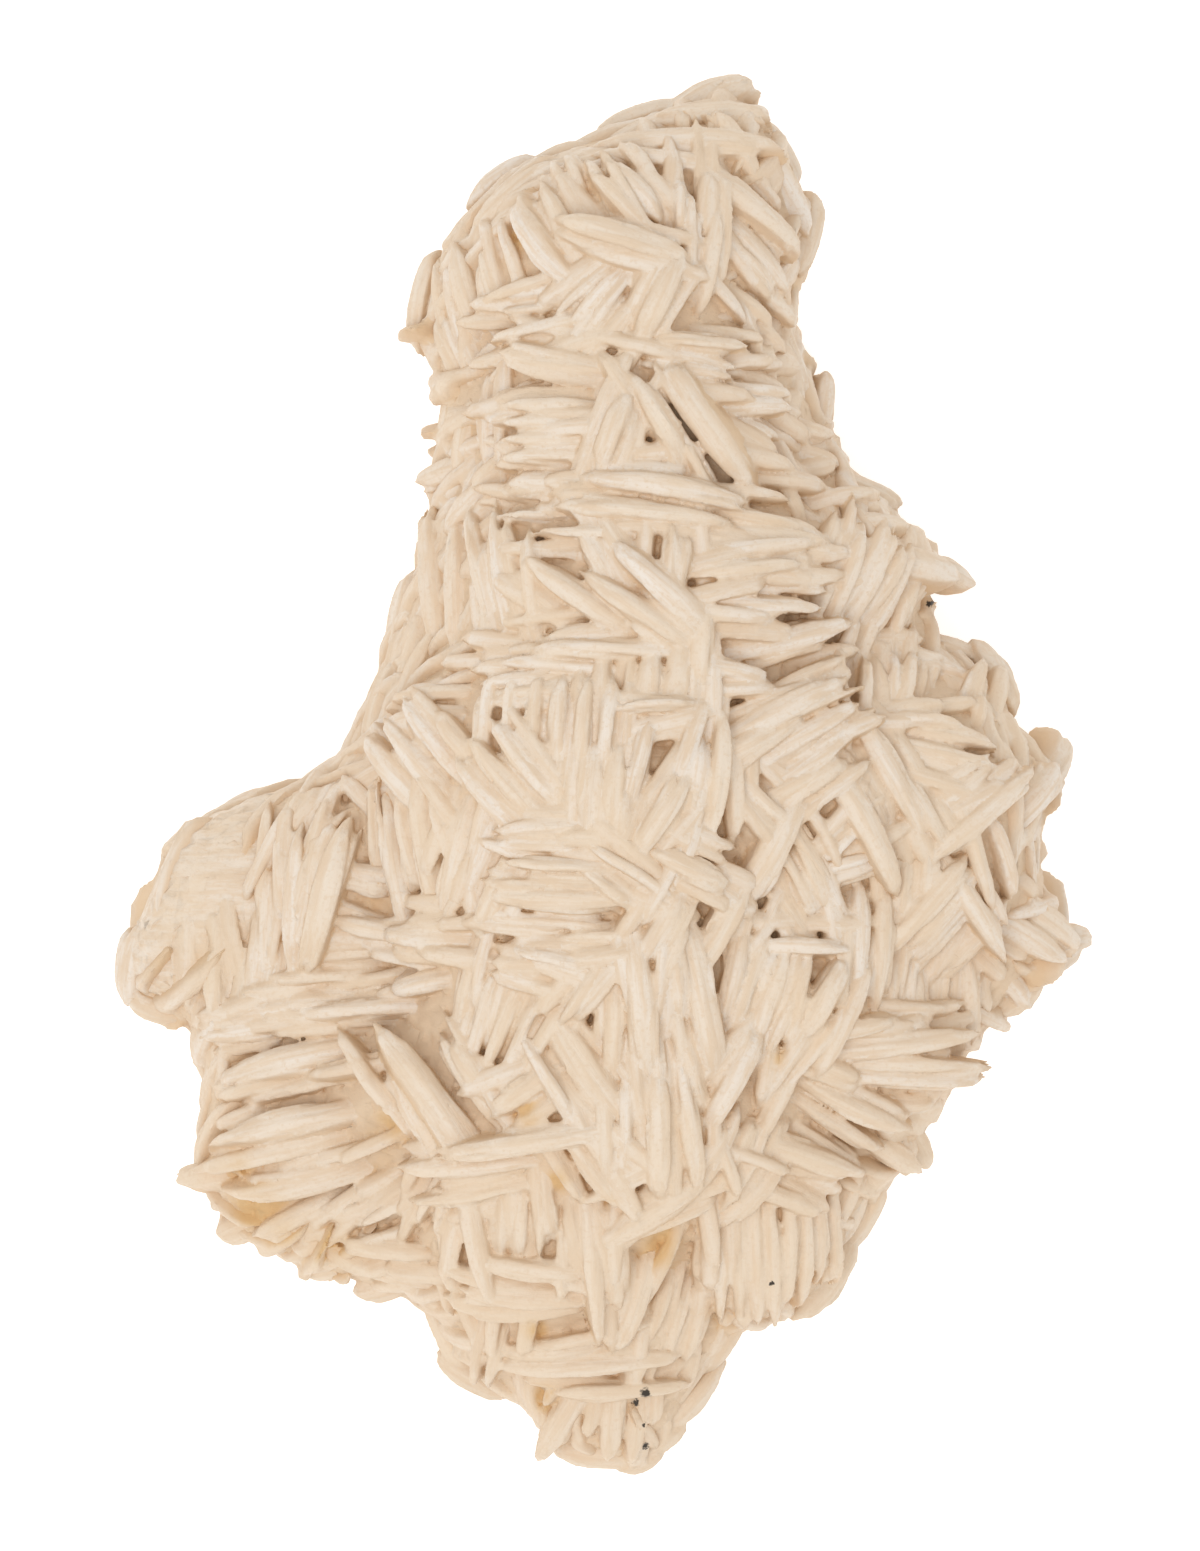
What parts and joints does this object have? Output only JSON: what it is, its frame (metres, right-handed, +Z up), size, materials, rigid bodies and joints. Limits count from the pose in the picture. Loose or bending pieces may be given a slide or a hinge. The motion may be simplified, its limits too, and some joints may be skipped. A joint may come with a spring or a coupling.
{
  "type": "dolomite crystal cluster",
  "caption": "Pale cream cluster of grown-together, lens-edged mineral blades in stacks and fans, lying on its broken back on a small flat spot.",
  "frame": {"origin": "centre of the bounding box's footprint, on the surface that the cluster lies on", "axes": "+Z up through the display face, +Y along the length towards the narrow crown, +X across, to the right of one who looks down on the display face with the crown at the top"},
  "size_m": [0.0842, 0.1202, 0.0388],
  "materials": {
    "cream_dolomite": "satin, finely granular blades, warm tan in the gaps between them"
  },
  "bodies": {
    "root": {"dolomite_cluster": "cream_dolomite"}
  },
  "joints": []
}
